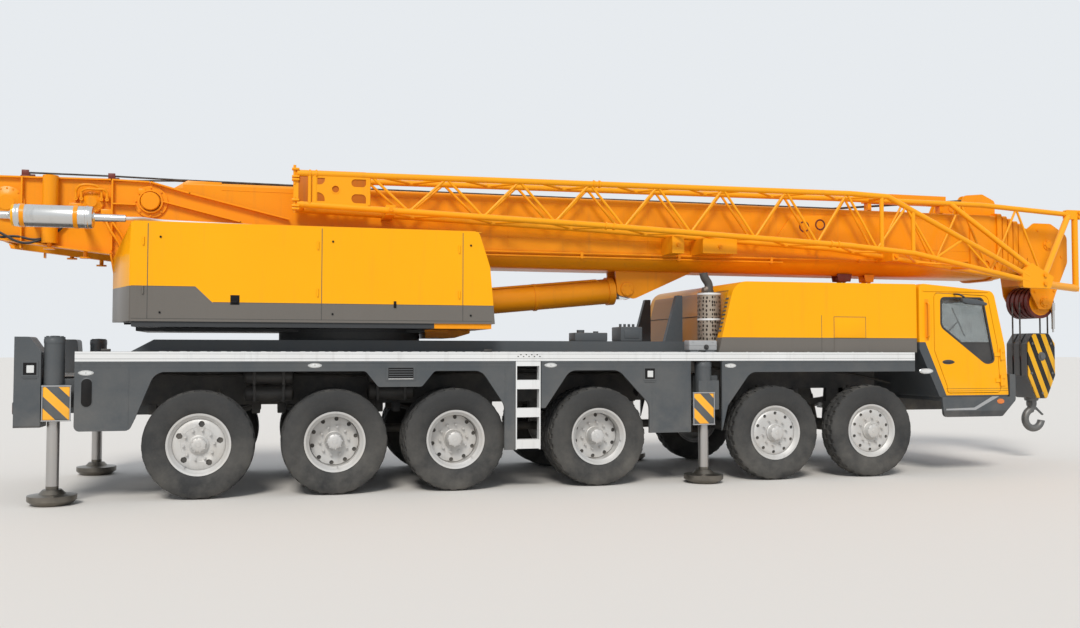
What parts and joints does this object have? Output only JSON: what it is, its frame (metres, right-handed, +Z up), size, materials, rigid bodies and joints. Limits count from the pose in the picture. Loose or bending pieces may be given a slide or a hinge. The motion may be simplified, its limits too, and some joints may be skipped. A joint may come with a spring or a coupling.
{
  "type": "six-axle truck-mounted telescopic crane",
  "caption": "Truck crane with a telescopic boom lying over the driving cab, a lattice jib stowed beside the boom, and jacks let down at the corners.",
  "frame": {"origin": "on the ground under the middle of the overall length and width", "axes": "+X forward, +Y to the vehicle's left, +Z up"},
  "size_m": [15.2, 3.3, 4.0583],
  "materials": {
    "tyre": "dusty",
    "carrier_grey": "satin",
    "yellow_paint": "gloss",
    "boom_orange": "gloss",
    "dark_steel": "satin",
    "steel": "satin",
    "chrome_rod": "polished",
    "glass": "clear",
    "trim": "matt",
    "cast": "rough"
  },
  "bodies": {
    "carrier": {"chassis_frame": "carrier_grey", "deck": "carrier_grey", "side_skirts": "carrier_grey", "access_ladders": "carrier_grey", "axles": "dark_steel", "outrigger_boxes": "carrier_grey", "bumpers": "carrier_grey", "cab_shell": "yellow_paint", "windscreen": "glass", "cab_interior": "trim", "engine_block": "cast", "engine_hood": "yellow_paint", "exhaust_stack": "dark_steel", "boom_rest": "carrier_grey", "slewing_ring": "dark_steel"},
    "wheel_1_left": {"wheel_1_left": "tyre"},
    "knuckle_1_left": {"knuckle_1_left": "cast"},
    "wheel_1_right": {"wheel_1_right": "tyre"},
    "knuckle_1_right": {"knuckle_1_right": "cast"},
    "wheel_2_left": {"wheel_2_left": "tyre"},
    "knuckle_2_left": {"knuckle_2_left": "cast"},
    "wheel_2_right": {"wheel_2_right": "tyre"},
    "knuckle_2_right": {"knuckle_2_right": "cast"},
    "wheel_3_left": {"wheel_3_left": "tyre"},
    "wheel_3_right": {"wheel_3_right": "tyre"},
    "wheel_4_left": {"wheel_4_left": "tyre"},
    "wheel_4_right": {"wheel_4_right": "tyre"},
    "wheel_5_left": {"wheel_5_left": "tyre"},
    "wheel_5_right": {"wheel_5_right": "tyre"},
    "wheel_6_left": {"wheel_6_left": "tyre"},
    "wheel_6_right": {"wheel_6_right": "tyre"},
    "cab_door_left": {"cab_door_left": "yellow_paint", "door_glass_left": "glass"},
    "cab_door_right": {"cab_door_right": "yellow_paint", "door_glass_right": "glass"},
    "outrigger_beam_front_left": {"outrigger_beam_front_left": "carrier_grey"},
    "jack_front_left": {"jack_front_left": "steel"},
    "outrigger_beam_front_right": {"outrigger_beam_front_right": "carrier_grey"},
    "jack_front_right": {"jack_front_right": "steel"},
    "outrigger_beam_rear_left": {"outrigger_beam_rear_left": "carrier_grey"},
    "jack_rear_left": {"jack_rear_left": "steel"},
    "outrigger_beam_rear_right": {"outrigger_beam_rear_right": "carrier_grey"},
    "jack_rear_right": {"jack_rear_right": "steel"},
    "upper_works": {"turntable": "boom_orange", "machinery_cover": "yellow_paint", "operator_cab": "yellow_paint", "operator_seat": "trim", "winches": "dark_steel"},
    "operator_door": {"operator_door": "yellow_paint", "operator_door_glass": "glass"},
    "boom_base": {"boom_base": "boom_orange", "lattice_jib": "yellow_paint"},
    "boom_section_2": {"boom_section_2": "boom_orange"},
    "boom_section_3": {"boom_section_3": "boom_orange"},
    "boom_section_4": {"boom_section_4": "boom_orange"},
    "boom_section_5": {"boom_section_5": "boom_orange"},
    "boom_section_6": {"boom_section_6": "boom_orange"},
    "hook_block": {"hook_block": "dark_steel"},
    "luff_barrel": {"luff_cylinder_barrel": "boom_orange"},
    "luff_rod": {"luff_cylinder_rod": "chrome_rod"}
  },
  "joints": [
    {"name": "steer_1_left", "type": "hinge", "parent": "carrier", "child": "knuckle_1_left", "pos_m": [3.4, 1, 0.613], "axis": [0, 0, 1], "range_deg": [-32, 32]},
    {"name": "wheel_1_left_spin", "type": "hinge", "parent": "knuckle_1_left", "child": "wheel_1_left", "pos_m": [3.4, 1.3, 0.613], "axis": [0, 1, 0], "continuous": true},
    {"name": "steer_1_right", "type": "hinge", "parent": "carrier", "child": "knuckle_1_right", "pos_m": [3.4, -1, 0.613], "axis": [0, 0, 1], "range_deg": [-32, 32]},
    {"name": "wheel_1_right_spin", "type": "hinge", "parent": "knuckle_1_right", "child": "wheel_1_right", "pos_m": [3.4, -1.3, 0.613], "axis": [0, 1, 0], "continuous": true},
    {"name": "steer_2_left", "type": "hinge", "parent": "carrier", "child": "knuckle_2_left", "pos_m": [1.98, 1, 0.613], "axis": [0, 0, 1], "range_deg": [-20, 20]},
    {"name": "wheel_2_left_spin", "type": "hinge", "parent": "knuckle_2_left", "child": "wheel_2_left", "pos_m": [1.98, 1.3, 0.613], "axis": [0, 1, 0], "continuous": true},
    {"name": "steer_2_right", "type": "hinge", "parent": "carrier", "child": "knuckle_2_right", "pos_m": [1.98, -1, 0.613], "axis": [0, 0, 1], "range_deg": [-20, 20]},
    {"name": "wheel_2_right_spin", "type": "hinge", "parent": "knuckle_2_right", "child": "wheel_2_right", "pos_m": [1.98, -1.3, 0.613], "axis": [0, 1, 0], "continuous": true},
    {"name": "wheel_3_left_spin", "type": "hinge", "parent": "carrier", "child": "wheel_3_left", "pos_m": [-0.44, 1.3, 0.613], "axis": [0, 1, 0], "continuous": true},
    {"name": "wheel_3_right_spin", "type": "hinge", "parent": "carrier", "child": "wheel_3_right", "pos_m": [-0.44, -1.3, 0.613], "axis": [0, 1, 0], "continuous": true},
    {"name": "wheel_4_left_spin", "type": "hinge", "parent": "carrier", "child": "wheel_4_left", "pos_m": [-2.24, 1.3, 0.613], "axis": [0, 1, 0], "continuous": true},
    {"name": "wheel_4_right_spin", "type": "hinge", "parent": "carrier", "child": "wheel_4_right", "pos_m": [-2.24, -1.3, 0.613], "axis": [0, 1, 0], "continuous": true},
    {"name": "wheel_5_left_spin", "type": "hinge", "parent": "carrier", "child": "wheel_5_left", "pos_m": [-3.66, 1.3, 0.613], "axis": [0, 1, 0], "continuous": true},
    {"name": "wheel_5_right_spin", "type": "hinge", "parent": "carrier", "child": "wheel_5_right", "pos_m": [-3.66, -1.3, 0.613], "axis": [0, 1, 0], "continuous": true},
    {"name": "wheel_6_left_spin", "type": "hinge", "parent": "carrier", "child": "wheel_6_left", "pos_m": [-5.165, 1.3, 0.613], "axis": [0, 1, 0], "continuous": true},
    {"name": "wheel_6_right_spin", "type": "hinge", "parent": "carrier", "child": "wheel_6_right", "pos_m": [-5.165, -1.3, 0.613], "axis": [0, 1, 0], "continuous": true},
    {"name": "cab_door_left_hinge", "type": "hinge", "parent": "carrier", "child": "cab_door_left", "pos_m": [5.395, 1.496, 1.8], "axis": [0, 0, -1], "range_deg": [0, 68]},
    {"name": "cab_door_right_hinge", "type": "hinge", "parent": "carrier", "child": "cab_door_right", "pos_m": [5.395, -1.496, 1.8], "axis": [0, 0, 1], "range_deg": [0, 68]},
    {"name": "outrigger_front_left_slide", "type": "slide", "parent": "carrier", "child": "outrigger_beam_front_left", "axis": [0, 1, 0], "range_m": [0, 2.2]},
    {"name": "jack_front_left_slide", "type": "slide", "parent": "outrigger_beam_front_left", "child": "jack_front_left", "axis": [0, 0, 1], "range_m": [0, 0.345]},
    {"name": "outrigger_front_right_slide", "type": "slide", "parent": "carrier", "child": "outrigger_beam_front_right", "axis": [0, -1, 0], "range_m": [0, 2.2]},
    {"name": "jack_front_right_slide", "type": "slide", "parent": "outrigger_beam_front_right", "child": "jack_front_right", "axis": [0, 0, 1], "range_m": [0, 0.345]},
    {"name": "outrigger_rear_left_slide", "type": "slide", "parent": "carrier", "child": "outrigger_beam_rear_left", "axis": [0, 1, 0], "range_m": [0, 2.2]},
    {"name": "jack_rear_left_slide", "type": "slide", "parent": "outrigger_beam_rear_left", "child": "jack_rear_left", "axis": [0, 0, 1], "range_m": [0, 0.595]},
    {"name": "outrigger_rear_right_slide", "type": "slide", "parent": "carrier", "child": "outrigger_beam_rear_right", "axis": [0, -1, 0], "range_m": [0, 2.2]},
    {"name": "jack_rear_right_slide", "type": "slide", "parent": "outrigger_beam_rear_right", "child": "jack_rear_right", "axis": [0, 0, 1], "range_m": [0, 0.595]},
    {"name": "slew", "type": "hinge", "parent": "carrier", "child": "upper_works", "pos_m": [-3.4, 0, 1.9], "axis": [0, 0, 1], "continuous": true},
    {"name": "operator_door_hinge", "type": "hinge", "parent": "upper_works", "child": "operator_door", "pos_m": [-2.965, 1.456, 2.6], "axis": [0, 0, 1], "range_deg": [0, 80]},
    {"name": "boom_luff", "type": "hinge", "parent": "upper_works", "child": "boom_base", "pos_m": [-5.8, 0, 3.45], "axis": [0, -1, 0], "range_deg": [0, 80]},
    {"name": "telescope_2", "type": "slide", "parent": "boom_base", "child": "boom_section_2", "axis": [1, 0, 0], "range_m": [0, 9]},
    {"name": "telescope_3", "type": "slide", "parent": "boom_section_2", "child": "boom_section_3", "axis": [1, 0, 0], "range_m": [0, 9]},
    {"name": "telescope_4", "type": "slide", "parent": "boom_section_3", "child": "boom_section_4", "axis": [1, 0, 0], "range_m": [0, 9]},
    {"name": "telescope_5", "type": "slide", "parent": "boom_section_4", "child": "boom_section_5", "axis": [1, 0, 0], "range_m": [0, 9]},
    {"name": "telescope_6", "type": "slide", "parent": "boom_section_5", "child": "boom_section_6", "axis": [1, 0, 0], "range_m": [0, 9]},
    {"name": "hook_swing", "type": "hinge", "parent": "boom_section_6", "child": "hook_block", "pos_m": [7.165, 0, 2.44], "axis": [0, -1, 0], "range_deg": [-80, 0]},
    {"name": "luff_cylinder_swing", "type": "hinge", "parent": "upper_works", "child": "luff_barrel", "pos_m": [-3.7, 0, 2.14], "axis": [0, -1, 0], "range_deg": [0, 85.52]},
    {"name": "luff_rod_slide", "type": "slide", "parent": "luff_barrel", "child": "luff_rod", "axis": [0.9954, 0, 0.0954], "range_m": [0, 3.1409]}
  ],
  "couplings": [
    {"joint": "steer_1_right", "follows": "steer_1_left", "ratio": 1},
    {"joint": "steer_2_left", "follows": "steer_1_left", "ratio": 0.625},
    {"joint": "steer_2_right", "follows": "steer_1_left", "ratio": 0.625},
    {"joint": "telescope_3", "follows": "telescope_2", "ratio": 1},
    {"joint": "telescope_4", "follows": "telescope_2", "ratio": 1},
    {"joint": "telescope_5", "follows": "telescope_2", "ratio": 1},
    {"joint": "telescope_6", "follows": "telescope_2", "ratio": 1},
    {"joint": "hook_swing", "follows": "boom_luff", "ratio": -1},
    {"joint": "luff_cylinder_swing", "follows": "boom_luff", "ratio": 1.0687},
    {"joint": "luff_rod_slide", "follows": "boom_luff", "m_per_rad": 2.2481}
  ]
}
